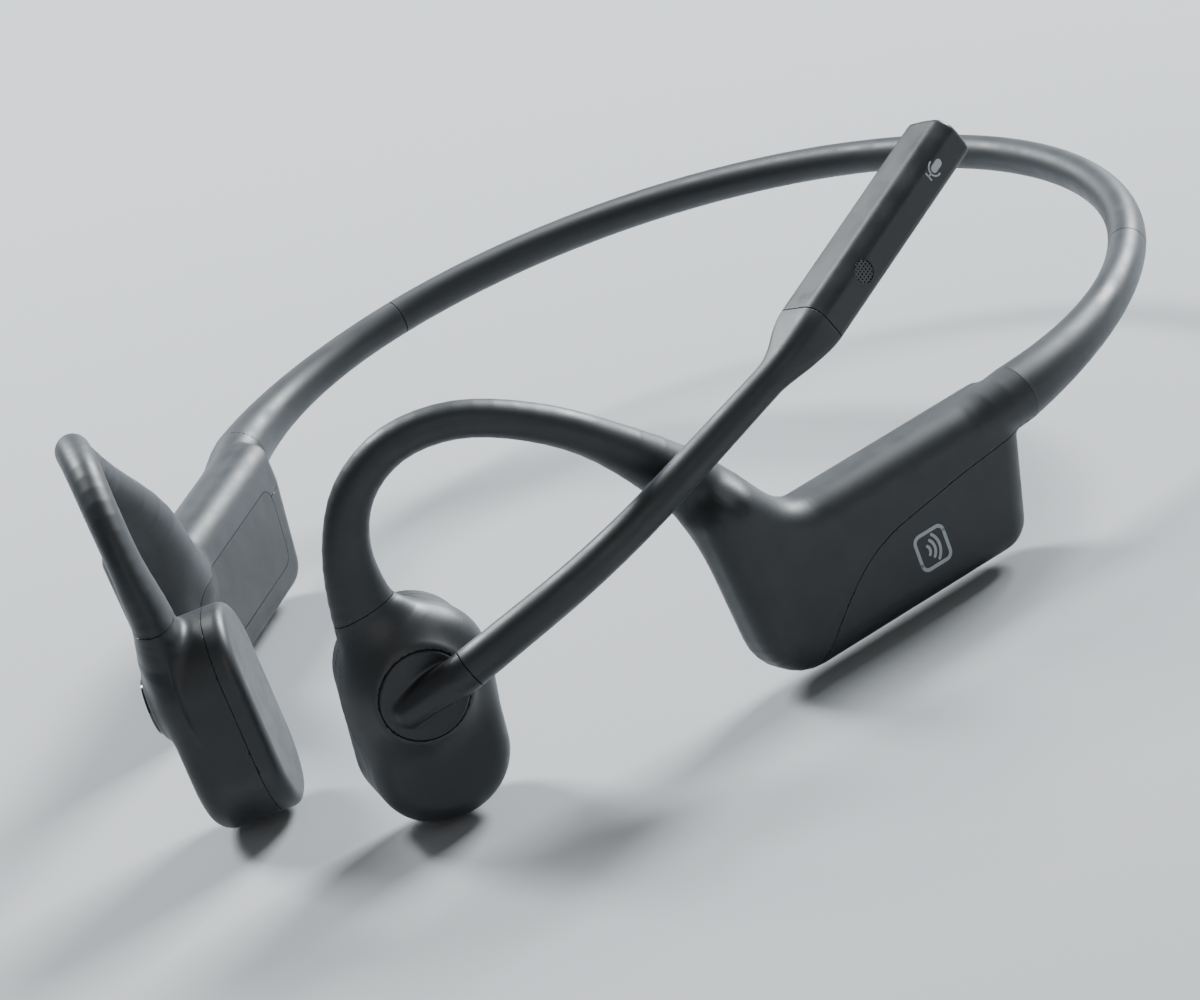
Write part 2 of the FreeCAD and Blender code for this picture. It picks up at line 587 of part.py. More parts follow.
# ---------------------------------------------------------------- button on the right capsule
def button_pieces():
    """Drawn on the left hub, mirrored to the right."""
    rim, top = BUTTON_BOSS_H + 0.35, BUTTON_BOSS_H + 0.5
    ring_shape = ring(BUTTON_RING_R, BUTTON_R + 0.12, BUTTON_FLOOR, rim)
    cap = fillet_at(cylinder(BUTTON_R, BUTTON_FLOOR + 0.45, top), 0.3, top)
    stem = cylinder(1.2, -0.6, BUTTON_FLOOR + 0.45)
    switch = box(-2.2, 2.2, -2.2, 2.2, -CAP_WALL - 1.4, -CAP_WALL)
    pieces = {"button_ring": ring_shape, "multifunction_button": cap.fuse(stem),
              "button_switch": switch}
    return {name: HUB.place(shape) for name, shape in pieces.items()}


# ---------------------------------------------------------------- assembly
def build():
    hook, hook_stub, core, lead = hook_pieces()
    nodes = dict(neckband())
    screws = []
    for side in ("left", "right"):
        pieces = pod_pieces(side, hook, core, lead)
        left_screws = pieces.pop("pod_screws")
        screws.append(left_screws if side == "left" else mirror(left_screws))
        pieces.update(capsule_pieces(side, hook_stub, core, lead))
        pieces["hook_core_wire"] = core
        pieces["hook_lead"] = lead
        for name, shape in pieces.items():
            nodes[side + "_" + name] = shape if side == "left" else mirror(shape)
    nodes["pod_screws"] = Part.makeCompound(screws)
    nodes.update(left_pod_extras())
    nodes.update({name: mirror(shape) for name, shape in right_pod_extras().items()})
    nodes.update(boom_pieces())
    nodes.update({name: mirror(shape) for name, shape in button_pieces().items()})
    return nodes


def export(nodes):
    os.makedirs("parts", exist_ok=True)
    for name, shape in nodes.items():
        shape.exportStep(os.path.join("parts", name + ".step"))
        bounds = shape.BoundBox
        print("%-24s solids %d valid %s volume %8.2f  x %.2f %.2f  y %.2f %.2f  z %.2f %.2f" % (
            name, len(shape.Solids), shape.isValid(), shape.Volume, bounds.XMin, bounds.XMax,
            bounds.YMin, bounds.YMax, bounds.ZMin, bounds.ZMax))
    whole = Part.makeCompound(list(nodes.values())).BoundBox
    print("whole x %.3f %.3f y %.3f %.3f z %.3f %.3f" % (
        whole.XMin, whole.XMax, whole.YMin, whole.YMax, whole.ZMin, whole.ZMax))


export(build())
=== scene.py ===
"""Looks of the bone conduction headphones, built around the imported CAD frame.

Sizes are in millimetres in the CAD frame and are scaled to metres as each mesh is made. The soft
outer forms are signed distance fields: fields are blended, split at the seams and meshed.
"""
import json
import math

import bpy
import numpy as np
import openvdb
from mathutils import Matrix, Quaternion, Vector


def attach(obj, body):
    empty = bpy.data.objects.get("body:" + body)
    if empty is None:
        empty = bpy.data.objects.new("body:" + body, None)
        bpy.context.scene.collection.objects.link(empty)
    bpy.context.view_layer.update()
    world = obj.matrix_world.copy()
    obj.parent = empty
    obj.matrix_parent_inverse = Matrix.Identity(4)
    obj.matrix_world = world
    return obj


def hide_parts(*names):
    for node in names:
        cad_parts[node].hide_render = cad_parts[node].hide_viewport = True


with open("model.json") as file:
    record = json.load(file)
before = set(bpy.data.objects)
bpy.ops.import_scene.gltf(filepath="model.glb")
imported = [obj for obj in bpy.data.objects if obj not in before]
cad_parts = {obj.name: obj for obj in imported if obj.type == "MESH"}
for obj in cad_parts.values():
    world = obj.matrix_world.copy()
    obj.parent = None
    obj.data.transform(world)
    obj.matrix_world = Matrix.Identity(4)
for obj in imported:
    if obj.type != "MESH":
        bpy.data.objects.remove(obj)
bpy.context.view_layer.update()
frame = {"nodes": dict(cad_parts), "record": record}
MM = 0.001

# ---------------------------------------------------------------- driving sizes, mm
ORIGIN = np.array([0.0, -62.39, 12.82])

BAND_HALF_WIDTH = 61.3
BAND_DEPTH = 50.4
BAND_CENTRE_Y = 78.0
BAND_REAR_Z = 9.6
BAND_SLOPE = 0.0855
BAND_END_DEG = -15.0
BAND_SEAM_DEG = 23.0
BAND_MID_R = 2.05
BAND_SIDE_R = 2.35
BAND_ROOT_R = 3.45

POD_NOTCH = np.array([47.3, 36.1, 7.2])
POD_YAW_DEG = 19.94
POD_OUT = 4.2
POD_IN = -4.1
POD_EDGE_R = 3.3
POD_BOTTOM = -18.7
POD_REAR = 29.2
POD_FRONT = -11.6
POD_WALL = 1.2
POD_OUTLINE = [(POD_REAR, -0.3, 1.5), (POD_REAR + 0.3, -6.0, 5.0), (POD_REAR - 3.4, POD_BOTTOM, 4.0),
               (POD_FRONT + 1.2, POD_BOTTOM, 6.5), (POD_FRONT - 0.8, 4.6, 3.0),
               (-6.6, 5.2, 3.0), (-1.6, -0.3, 6.0)]
COVER_SEAM = [(POD_REAR + 4, -5.5), (16.0, -7.3), (4.0, -10.2), (-8.6, POD_BOTTOM - 2)]
INNER_COVER = [(24.2, -5.0, 2.0), (22.0, -14.6, 2.5), (-7.0, -14.6, 4.0), (-7.4, -5.0, 2.5)]
KEY_SLOTS = [(3.4, 6.1, 2.7, 1.2), (11.6, 6.1, 2.7, 1.2)]
CONTACT_SLOTS = [(19.0, 5.3, 2.7, 0.5), (15.55, 0.7, 0.7, 0.1)]
SLOT_DEPTH = 3.0

HOOK_POINTS = [(44.3, 32.6, 2.5), (41.4, 28.4, 12.6), (38.0, 21.2, 22.2), (34.0, 15.4, 28.0),
               (28.6, 10.0, 31.4), (23.2, 5.2, 31.3), (19.0, 1.4, 27.8), (16.6, -0.5, 21.8),
               (15.8, -0.6, 14.6), (17.0, 0.0, 10.2)]
HOOK_RADII = [3.9, 3.7, 2.45, 2.15, 2.12, 2.2, 2.4, 2.75, 3.7, 5.0]
HOOK_THICK = [3.8, 3.6, 2.4, 2.1, 2.08, 2.1, 2.0, 2.0, 2.5, 2.6]
HOOK_SEAM = (15.45, 0.26, 0.10)

CAP_CENTRE = np.array([19.25, 0.0, 0.0])
CAP_TOE_IN_DEG = 36.4
CAP_TILT_DEG = 2.6
CAP_LEAN_DEG = 5.7
CAP_W = 15.9
CAP_H = 24.8
CAP_T = 10.5
CAP_CORNER_R = 7.4
CAP_FACE_R = 2.6
CAP_PAD_R = 1.4
CAP_PAD_T = 2.6

HUB_FRONT = 0.92
HUB_UP = 4.23
BOSS_H = 1.9
BOSS_SIZES = {"left": (BOSS_H, 6.9, 5.55), "right": (1.15, 5.4, 3.9)}
BOSS_BLEND = {"left": 3.0, "right": 1.5}
DISC_R = 5.2
DISC_FLOOR = 0.9

BOOM_REST_DEG = 64.0
BOOM_POINTS = [(1.6, 2.35), (25.0, 6.3), (53.6, 1.45), (84.9, -14.2)]
BOOM_BENDS = [0.0, 55.0, 13.0, 0.0]
STALK_ROOT = 5.6
STALK_END = 50.5
STALK_R0 = 2.3
STALK_R1 = 1.85
NECK_SEAM = 58.6
HEAD_W = 5.2
HEAD_D = 6.4
MIC_AT = 65.4
MIC_R = 1.35
HOLE_PITCH = 0.40
HOLE_R = 0.115

BUTTON_RING_R = 3.4
BUTTON_FLOOR = 0.3

HEAD_SOFT_R = 2.0
HEAD_CRISP_R = 0.8
HEAD_END_R = 0.5
HEAD_RADII = [HEAD_SOFT_R, HEAD_CRISP_R, HEAD_CRISP_R, HEAD_CRISP_R]

SEAM = 0.05
PAD_WALL = 1.0
ROOT_DEG = 15
ROOT_TAPER = 1.4
ROOT_BLEND = 0.5
HOOK_BLEND = 2.5
CAPSULE_BLEND = 1.8
REAR_FROM_X = 20
MARK_PROUD = 0.012


# ---------------------------------------------------------------- frames
def unit(v):
    v = np.asarray(v, float)
    return v / np.linalg.norm(v)


class Local:
    """A right-handed frame with origin o and unit axes as the rows of a matrix."""

    def __init__(self, origin, x, y, z):
        self.o = np.asarray(origin, float)
        self.axes = np.array([unit(x), unit(y), unit(z)])

    def inside(self, points):
        return (points - self.o) @ self.axes.T

    def outside(self, points):
        return np.asarray(points, float) @ self.axes + self.o


def capsule_frame():
    toe, tilt, lean = (math.radians(a) for a in (CAP_TOE_IN_DEG, CAP_TILT_DEG, CAP_LEAN_DEG))
    out = np.array([math.cos(toe) * math.cos(tilt), -math.sin(toe) * math.cos(tilt), -math.sin(tilt)])
    up0 = np.array([math.cos(toe) * math.sin(tilt), -math.sin(toe) * math.sin(tilt), math.cos(tilt)])
    up = up0 * math.cos(lean) + np.cross(up0, out) * math.sin(lean)
    return Local(CAP_CENTRE + ORIGIN, np.cross(up, out), up, out)


def pod_frame():
    yaw = math.radians(POD_YAW_DEG)
    rear = np.array([math.sin(yaw), math.cos(yaw), 0.0])
    return Local(POD_NOTCH + ORIGIN, rear, (0, 0, 1), np.cross(rear, (0, 0, 1)))


CAP = capsule_frame()
POD = pod_frame()
HUB = Local(CAP.outside([-HUB_FRONT, HUB_UP, 0]), *CAP.axes)


def boom_frame():
    rest = math.radians(BOOM_REST_DEG)
    along = HUB.axes[1] * math.cos(rest) + HUB.axes[0] * math.sin(rest)
    return Local(HUB.outside([0, 0, BOSS_H]), along, np.cross(HUB.axes[2], along), HUB.axes[2])


BOOM = boom_frame()


# ---------------------------------------------------------------- distance fields
def smooth_union(a, b, k):
    h = np.maximum(k - np.abs(a - b), 0) / k
    return np.minimum(a, b) - h * h * k * 0.25


def catmull(values, per_span):
    """Points on a smooth curve through the given rows."""
    rows = np.asarray(values, float)
    padded = np.vstack([2 * rows[0] - rows[1], rows, 2 * rows[-1] - rows[-2]])
    out = []
    for i in range(1, len(padded) - 2):
        p0, p1, p2, p3 = padded[i - 1:i + 3]
        for t in np.arange(per_span) / per_span:
            out.append(0.5 * (2 * p1 + (p2 - p0) * t + (2 * p0 - 5 * p1 + 4 * p2 - p3) * t * t
                              + (3 * p1 - p0 - 3 * p2 + p3) * t ** 3))
    return np.vstack(out + [rows[-1]])


def tube_field(points, path, across=None):
    """Distance to a chain of round cones; path rows are x, y, z, r and the flattening across."""
    spread = np.abs(points - points.mean(0)).max() * 2 + 1
    reach = np.linalg.norm(path[:, :3] - points.mean(0), axis=1) - path[:, 3]
    best = np.full(len(points), 1e3)
    for i in np.nonzero(np.minimum(reach[:-1], reach[1:]) < reach.min() + spread + 4)[0]:
        a, b = path[i], path[i + 1]
        run = b[:3] - a[:3]
        t = np.clip((points - a[:3]) @ run / (run @ run), 0, 1)
        gap = points - a[:3] - t[:, None] * run
        length = np.sqrt((gap * gap).sum(1))
        if across is None:
            best = np.minimum(best, length - a[3] - t * (b[3] - a[3]))
            continue
        flatter = a[4] + t * (b[4] - a[4]) - 1
        stretched = gap + (flatter * (gap @ across))[:, None] * across
        size = np.maximum(np.sqrt((stretched * stretched).sum(1)), 1e-6)
        best = np.minimum(best, (size - a[3] - t * (b[3] - a[3])) * length / size)
    return best


def outline_points(corners, steps=7):
    """A closed polyline through (x, y, radius) corners, each rounded with an arc."""
    pts = []
    count = len(corners)
    for i in range(count):
        before, here, after = (np.array(corners[(i + k) % count][:2]) for k in (-1, 0, 1))
        back, ahead = unit(before - here), unit(after - here)
        half = math.acos(float(np.clip(back @ ahead, -1, 1))) / 2
        radius = corners[i][2]
        centre = here + unit(back + ahead) * radius / math.sin(half)
        first, last = here + back * radius / math.tan(half), here + ahead * radius / math.tan(half)
        a0 = math.atan2(*(first - centre)[::-1])
        turn = (math.atan2(*(last - centre)[::-1]) - a0 + math.pi) % (2 * math.pi) - math.pi
        for s in range(steps + 1):
            a = a0 + turn * s / steps
            pts.append(centre + radius * np.array([math.cos(a), math.sin(a)]))
    return np.array(pts)


def polygon_field(x, y, poly):
    """Signed distance to a closed polygon in the plane."""
    best = np.full(len(x), 1e6)
    inside = np.zeros(len(x), bool)
    for a, b in zip(poly, np.roll(poly, -1, 0)):
        ex, ey = b - a
        wx, wy = x - a[0], y - a[1]
        t = np.clip((wx * ex + wy * ey) / (ex * ex + ey * ey + 1e-12), 0, 1)
        best = np.minimum(best, (wx - ex * t) ** 2 + (wy - ey * t) ** 2)
        crosses = ((a[1] > y) != (b[1] > y)) & (x < ex * (y - a[1]) / (ey if abs(ey) > 1e-9 else 1e-9)
                                               + a[0])
        inside ^= crosses
    return np.where(inside, -1, 1) * np.sqrt(best)


def extrude(flat, z, low, high, edge):
    """A flat field given a thickness, with its edges rounded by edge."""
    wall = flat + edge
    slab = np.abs(z - (low + high) / 2) - (high - low) / 2 + edge
    return (np.minimum(np.maximum(wall, slab), 0)
            + np.hypot(np.maximum(wall, 0), np.maximum(slab, 0)) - edge)


def rect_field(x, y, w, h, r):
    qx, qy = np.abs(x) - w / 2 + r, np.abs(y) - h / 2 + r
    return np.minimum(np.maximum(qx, qy), 0) + np.hypot(np.maximum(qx, 0), np.maximum(qy, 0)) - r


# ---------------------------------------------------------------- meshes
def new_object(name, vertices, faces, crease=35.0):
    vertices, faces = np.asarray(vertices, float) * MM, [list(map(int, f)) for f in faces]
    mesh = bpy.data.meshes.new(name)
    mesh.from_pydata(vertices.tolist(), [], faces)
    mesh.polygons.foreach_set("use_smooth", [True] * len(mesh.polygons))
    mesh.set_sharp_from_angle(angle=math.radians(crease))
    mesh.validate()
    obj = bpy.data.objects.new(name, mesh)
    bpy.context.scene.collection.objects.link(obj)
    return obj


def sample_blocks(field, low, shape, step, block=8):
    """Field values on a grid, worked out finely only in blocks near the surface."""
    counts = [math.ceil(n / block) for n in shape]
    values = np.empty([c * block for c in counts], np.float32)
    index = np.stack(np.meshgrid(*[np.arange(c) for c in counts], indexing="ij"), -1).reshape(-1, 3)
    coarse = field(low + (index * block + (block - 1) / 2) * step)
    cell = np.stack(np.meshgrid(*[np.arange(block)] * 3, indexing="ij"), -1).reshape(-1, 3)
    near = np.abs(coarse) < block * step * 1.2

    def span(corner):
        return tuple(slice(c * block, (c + 1) * block) for c in corner)
    for corner, distance in zip(index[~near], coarse[~near]):
        values[span(corner)] = distance
    todo, batch = index[near], 48
    for start in range(0, len(todo), batch):
        part = todo[start:start + batch]
        found = field((low + (part[:, None, :] * block + cell) * step).reshape(-1, 3))
        for corner, cube in zip(part, found.reshape(-1, block, block, block)):
            values[span(corner)] = cube
    return values


def slopes(fields, points, h):
    """Gradients of every field, as (field, point, axis)."""
    return np.stack([fields(points + a) - fields(points - a) for a in np.eye(3) * h], -1) / (2 * h)


def settle(fields, vertices, step):
    """Moves vertices onto the surface, and onto its edges where two fields meet."""
    for turn in range(3):
        values, slope = fields(vertices), slopes(fields, vertices, step * 0.15)
        order = np.argsort(-values, 0)
        rows = np.arange(len(vertices))
        first = order[0]
        g0, v0 = slope[first, rows], values[first, rows]
        size = np.maximum((g0 * g0).sum(1), 0.25)
        moved = -(v0 / size)[:, None] * g0
        if turn and len(values) > 1:
            second = order[1]
            g1, v1 = slope[second, rows], values[second, rows]
            g11 = np.maximum((g1 * g1).sum(1), 0.25)
            g01 = (g0 * g1).sum(1)
            det = size * g11 - g01 * g01
            edge = (np.abs(v0) < 0.62 * step) & (np.abs(v1) < 0.62 * step) & (det > 0.12 * size * g11)
            det = np.maximum(det, 1e-6)
            c0, c1 = (-v0 * g11 + v1 * g01) / det, (-v1 * size + v0 * g01) / det
            both = c0[:, None] * g0 + c1[:, None] * g1
            moved[edge] = both[edge]
        length = np.linalg.norm(moved, axis=1, keepdims=True)
        vertices = vertices + moved * np.minimum(1, step * 0.7 / np.maximum(length, 1e-9))
    return vertices


def field_mesh(fields, low, high, step):
    """Vertices and faces of the solid inside every field, within a box."""
    low, high = np.asarray(low, float) - 2 * step, np.asarray(high, float) + 2 * step
    shape = np.ceil((high - low) / step).astype(int) + 1
    grid = openvdb.FloatGrid(10.0)
    grid.copyFromArray(sample_blocks(lambda p: fields(p).max(0), low, shape, step))
    points, faces = grid.convertToQuads(isovalue=0.0)
    vertices = settle(fields, np.asarray(points, float) * step + low, step)
    a, b, c = (vertices[faces[:, i]] for i in range(3))
    some = slice(None, None, 50)
    middle = ((a + c) / 2)[some]
    values, slope = fields(middle), slopes(fields, middle, step * 0.2)
    outward = slope[values.argmax(0), np.arange(len(middle))]
    facing = (np.cross(b - a, c - a)[some] * outward).sum()
    return vertices, faces if facing > 0 else faces[:, ::-1]


def field_object(name, fields, low, high, step, mirrored=False):
    vertices, faces = field_mesh(fields, low, high, step)
    if mirrored:
        vertices, faces = vertices * [-1, 1, 1], faces[:, ::-1]
    return new_object(name, vertices, faces)


def corner_box(local, low, high):
    """The world box of a box given in a local frame."""
    corners = np.array([[x, y, z] for x in (low[0], high[0]) for y in (low[1], high[1])
                        for z in (low[2], high[2])])
    world = local.outside(corners)
    return world.min(0), world.max(0)


def ring_object(name, rings):
    """A closed solid skinned over rings of equal point counts, capped at both ends."""
    count = len(rings[0])
    vertices = np.vstack(rings + [rings[0].mean(0)[None], rings[-1].mean(0)[None]])
    faces = []
    for s in range(len(rings) - 1):
        for i in range(count):
            j = (i + 1) % count
            a, b = s * count, (s + 1) * count
            faces.append((a + i, b + i, b + j, a + j))
    tail = len(rings) * count
    last = (len(rings) - 1) * count
    for i in range(count):
        j = (i + 1) % count
        faces.append((tail, i, j))
        faces.append((tail + 1, last + j, last + i))
    return new_object(name, vertices, faces)


# ---------------------------------------------------------------- forms shared by both sides
HOOK_PATH = catmull(np.column_stack([np.array(HOOK_POINTS) + ORIGIN, HOOK_RADII,
                                     np.array(HOOK_RADII) / HOOK_THICK]), 4)
POD_POLY = outline_points(POD_OUTLINE)
COVER_CURVE = catmull([(x, y) for x, y in COVER_SEAM], 10)
COVER_POLY = np.vstack([COVER_CURVE, [(COVER_CURVE[-1][0], POD_BOTTOM - 9),
                                      (COVER_CURVE[0][0], POD_BOTTOM - 9)]])
INNER_POLY = outline_points(INNER_COVER)


def band_point(degrees):
    t = np.radians(degrees)
    return np.stack([BAND_HALF_WIDTH * np.cos(t), BAND_CENTRE_Y + BAND_DEPTH * np.sin(t),
                     BAND_REAR_Z - BAND_SLOPE * BAND_DEPTH * (1 - np.sin(t))], -1) + ORIGIN


def band_radius(degrees):
    away = min(abs(degrees - BAND_END_DEG), abs(180 - BAND_END_DEG - degrees))
    flare = max(0.0, 1 - away / 34.0)
    side = min(1.0, abs(90 - degrees) / 100.0)
    plain = BAND_MID_R + (BAND_SIDE_R - BAND_MID_R) * side
    return plain + (BAND_ROOT_R - BAND_SIDE_R) * flare * flare


def root_row(degrees):
    """Centre and radius of the band's root where it sinks into the pod, tapering as it goes."""
    sunk = max(0, BAND_END_DEG - degrees) / ROOT_DEG
    return list(band_point(degrees)) + [BAND_ROOT_R - ROOT_TAPER * sunk ** 2]


ROOT_PATH = np.array([root_row(d) for d in np.arange(BAND_END_DEG - ROOT_DEG, BAND_END_DEG + 4, 2.5)])


def capsule_slab(q):
    flat = rect_field(q[:, 0], q[:, 1], CAP_W, CAP_H, CAP_CORNER_R)
    outer = extrude(flat, q[:, 2], -CAP_T, 0, CAP_FACE_R)
    inner = extrude(flat, q[:, 2], -CAP_T, 0, CAP_PAD_R)
    return np.where(q[:, 2] > -CAP_T / 2, outer, inner)


def boss_cone(q, height, base, top):
    """A cone frustum on the hub axis, rounded at the rim."""
    radius = np.hypot(q[:, 0], q[:, 1])
    lean = (base - top) / (height + 0.8)
    edge = 0.3
    a = (radius - top - (height - q[:, 2]) * lean) / math.hypot(1, lean) + edge
    b = q[:, 2] - height + edge
    cone = np.minimum(np.maximum(a, b), 0) + np.hypot(np.maximum(a, 0), np.maximum(b, 0)) - edge
    return np.maximum(cone, -2.5 - q[:, 2])


def band_end_plane(p):
    """Negative on the pod side of the plane where the band's skin starts."""
    here, there = band_point(np.array([BAND_END_DEG, BAND_END_DEG + 0.5]))
    return (p - here) @ unit(there - here)


def rear_form(p):
    pod = POD.inside(p)
    flat = polygon_field(pod[:, 0], pod[:, 1], POD_POLY)
    block = extrude(flat, pod[:, 2], POD_IN, POD_OUT, POD_EDGE_R)
    pod_and_root = smooth_union(block, tube_field(p, ROOT_PATH), ROOT_BLEND)
    return smooth_union(pod_and_root, tube_field(p, HOOK_PATH, CAP.axes[2]), HOOK_BLEND)


def front_form(p, side):
    cap, hub = CAP.inside(p), HUB.inside(p)
    hook = tube_field(p, HOOK_PATH, CAP.axes[2])
    body = smooth_union(hook, capsule_slab(cap), CAPSULE_BLEND)
    return smooth_union(body, boss_cone(hub, *BOSS_SIZES[side]), BOSS_BLEND[side])


def arm_form(p, side):
    """The whole outer form of one side: pod, hook, capsule and boss, blended."""
    values = np.empty(len(p))
    rear = CAP.inside(p)[:, 0] > REAR_FROM_X
    if rear.any():
        values[rear] = rear_form(p[rear])
    if not rear.all():
        values[~rear] = front_form(p[~rear], side)
    return values


def below_cover_seam(pod):
    return polygon_field(pod[:, 0], pod[:, 1], COVER_POLY)


def in_inner_cover(pod):
    flat = polygon_field(pod[:, 0], pod[:, 1], INNER_POLY)
    return np.maximum(flat, pod[:, 2] - (POD_IN + POD_WALL))


def above_hook_seam(cap):
    """Negative over the slanted seam where the hook's skin ends on the capsule."""
    height, rise_rear, rise_out = HOOK_SEAM
    lean = math.sqrt(1 + rise_rear ** 2 + rise_out ** 2)
    return (height + rise_rear * cap[:, 0] + rise_out * cap[:, 2] - cap[:, 1]) / lean


def hook_skin(side):
    def fields(p):
        pod, cap = POD.inside(p), CAP.inside(p)
        rear = cap[:, 0] > REAR_FROM_X
        form = arm_form(p, side)
        return np.stack([form, np.where(rear, -9.0, above_hook_seam(cap)) + SEAM,
                         SEAM - np.where(rear, below_cover_seam(pod), 9.0),
                         np.where(rear, band_end_plane(p), -9.0),
                         SEAM - np.where(rear, in_inner_cover(pod), 9.0)])
    return fields


def pod_cover(side):
    slots = KEY_SLOTS + CONTACT_SLOTS if side == "right" else []

    def fields(p):
        pod = POD.inside(p)
        form = rear_form(p)
        stack = [form, -form - POD_WALL, below_cover_seam(pod) + SEAM,
                 SEAM - in_inner_cover(pod), band_end_plane(p)]
        for x, length, width, corner in slots:
            opening = rect_field(pod[:, 0] - x, pod[:, 2], length, width, corner)
            stack.append(-np.maximum(opening, pod[:, 1] - POD_BOTTOM - SLOT_DEPTH))
        return np.stack(stack)
    return fields


def pod_inner_cover(p):
    return np.stack([rear_form(p), in_inner_cover(POD.inside(p)) + SEAM])


def capsule_shell(side):
    recess, floor = (DISC_R + 0.1, DISC_FLOOR) if side == "left" else (BUTTON_RING_R, BUTTON_FLOOR)

    def fields(p):
        cap, hub = CAP.inside(p), HUB.inside(p)
        form = front_form(p, side)
        well = np.maximum(np.hypot(hub[:, 0], hub[:, 1]) - recess, floor - hub[:, 2])
        return np.stack([form, -form - POD_WALL, SEAM - above_hook_seam(cap),
                         SEAM - CAP_T + CAP_PAD_T - cap[:, 2], -well])
    return fields


def capsule_pad(p):
    form = front_form(p, "left")
    cap = CAP.inside(p)
    return np.stack([form, -form - PAD_WALL, cap[:, 2] + CAP_T - CAP_PAD_T + SEAM,
                     SEAM - above_hook_seam(cap)])


# ---------------------------------------------------------------- boom forms
def boom_line():
    """Centre line of the boom in its own x-z plane, as dense points."""
    pts = [np.array(p, float) for p in BOOM_POINTS]
    out = [pts[0]]
    for i in (1, 2):
        back, ahead = unit(pts[i - 1] - pts[i]), unit(pts[i + 1] - pts[i])
        half = math.acos(float(back @ ahead)) / 2
        centre = pts[i] + unit(back + ahead) * BOOM_BENDS[i] / math.sin(half)
        first = pts[i] + back * BOOM_BENDS[i] / math.tan(half)
        last = pts[i] + ahead * BOOM_BENDS[i] / math.tan(half)
        for t in np.linspace(0, 1, 24):
            chord = first + (last - first) * t
            out.append(centre + unit(chord - centre) * BOOM_BENDS[i])
    out.append(pts[-1])
    return np.array(out)


BOOM_LINE = boom_line()


def boom_at(x):
    """(position, tangent) in the boom's frame at a distance x along it."""
    z = np.interp(x, BOOM_LINE[:, 0], BOOM_LINE[:, 1])
    h = 0.3
    slope = (np.interp(x + h, BOOM_LINE[:, 0], BOOM_LINE[:, 1])
             - np.interp(x - h, BOOM_LINE[:, 0], BOOM_LINE[:, 1])) / (2 * h)
    if x + h > BOOM_LINE[-1, 0]:
        slope = (BOOM_LINE[-1, 1] - BOOM_LINE[-2, 1]) / (BOOM_LINE[-1, 0] - BOOM_LINE[-2, 0])
    return np.array([x, 0.0, z]), unit([1.0, 0.0, slope])


def section_ring(w, d, radii, per_corner=9):
    """A rounded rectangle across the boom: four corner radii, from the lower outer one round."""
    pts = []
    corners = ((1, 1, 0), (-1, 1, 90), (-1, -1, 180), (1, -1, 270))
    for (sy, sz, start), r in zip(corners, radii):
        centre = np.array([sy * (w / 2 - r), sz * (d / 2 - r)])
        for a in np.radians(np.linspace(start, start + 90, per_corner)):
            pts.append(centre + r * np.array([math.cos(a), math.sin(a)]))
    return np.array(pts)


def boom_ring(x, w, d, radii):
    centre, tangent = boom_at(x)
    rise = np.cross([0.0, 1.0, 0.0], tangent) * -1
    flat = section_ring(w, d, radii)
    return BOOM.outside(centre + flat[:, :1] * [0.0, 1.0, 0.0] + flat[:, 1:] * rise)


def stalk_radius(x):
    t = np.clip((x - STALK_ROOT) / (STALK_END - STALK_ROOT), 0, 1)
    return STALK_R0 + (STALK_R1 - STALK_R0) * t


def hub_fields(p):
    """The turning disc with the round-nosed ridge that rises out of it into the stalk."""
    q = BOOM.inside(p)
    radius = np.hypot(q[:, 0], q[:, 1])
    plate = extrude(radius - DISC_R, q[:, 2], DISC_FLOOR - BOSS_H + 0.06, 0.32, 0.42)
    path = [(-2.3, 0, -0.25, 2.0), (0.2, 0, 0.75, 2.1), (2.8, 0, 1.95, 2.2)]
    for x in (4.6, STALK_ROOT + 2):
        centre, _ = boom_at(x)
        path.append((*centre, stalk_radius(x)))
    ridge = np.maximum(tube_field(q, catmull(path, 3)), DISC_FLOOR - BOSS_H + 0.1 - q[:, 2])
    centre, tangent = boom_at(STALK_ROOT)
    return np.stack([smooth_union(plate, ridge, 0.6), (q - centre) @ tangent + SEAM])


def head_frame():
    start, along = boom_at(BOOM_POINTS[-1][0] - 1)
    tip = np.array([BOOM_POINTS[-1][0], 0.0, BOOM_POINTS[-1][1]])
    side = BOOM.axes[1]
    along = np.array(along) @ BOOM.axes
    return Local(BOOM.outside(tip), side, np.cross(along, side), along)


HEAD = head_frame()
OUTWARD = 1.0 if HEAD.axes[1] @ BOOM.axes[2] > 0 else -1.0
UPPER = 1.0 if HEAD.axes[0] @ BOOM.axes[1] > 0 else -1.0
MIC_FROM_TIP = (BOOM_POINTS[-1][0] - MIC_AT) / boom_at(80.0)[1][0]
HEAD_LENGTH = (BOOM_POINTS[-1][0] - NECK_SEAM) / boom_at(80.0)[1][0]


def head_fields(p):
    """The microphone head: softly rounded between its outer and upper faces, crisp elsewhere."""
    q = HEAD.inside(p)
    soft = (q[:, 0] * UPPER > 0) & (q[:, 1] * OUTWARD > 0)
    flat = rect_field(q[:, 0], q[:, 1], HEAD_W, HEAD_D, np.where(soft, HEAD_SOFT_R, HEAD_CRISP_R))
    crown = 0.25 * ((q[:, 0] / HEAD_W * 2) ** 2 + (q[:, 1] / HEAD_D * 2) ** 2)
    bar = extrude(flat, q[:, 2] + crown, -60.0, 0.0, HEAD_END_R)
    radial = np.hypot(q[:, 0], q[:, 2] + MIC_FROM_TIP)
    well = np.maximum(radial - MIC_R, HEAD_D / 2 - 0.9 - q[:, 1] * OUTWARD)
    return np.stack([bar, -q[:, 2] - HEAD_LENGTH + SEAM, -well])


